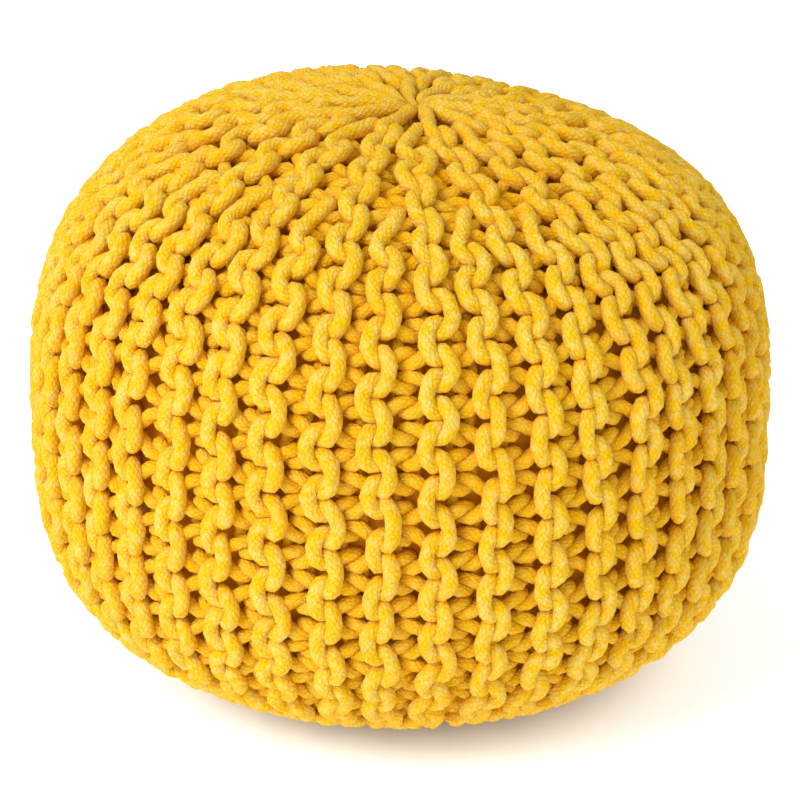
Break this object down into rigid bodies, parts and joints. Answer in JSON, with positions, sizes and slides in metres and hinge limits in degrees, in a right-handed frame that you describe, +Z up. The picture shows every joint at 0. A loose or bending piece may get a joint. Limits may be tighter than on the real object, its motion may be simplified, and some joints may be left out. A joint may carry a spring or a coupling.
{
  "type": "knitted pouf",
  "caption": "Round filled pouf in a chunky cord cover knitted in ribs that run from pole to pole, over a smooth casing that shows through the gaps.",
  "frame": {"origin": "centre of the flat foot, on the surface that the pouf stands on", "axes": "+Z up, through both poles; the crown leans a little towards +X"},
  "size_m": [0.4978, 0.4987, 0.3974],
  "materials": {
    "cord": "matt braided cotton cord, yellow",
    "casing_cloth": "smooth matt cloth, deep orange yellow"
  },
  "bodies": {
    "root": {"knit_cover": "cord", "casing": "casing_cloth"}
  },
  "joints": []
}
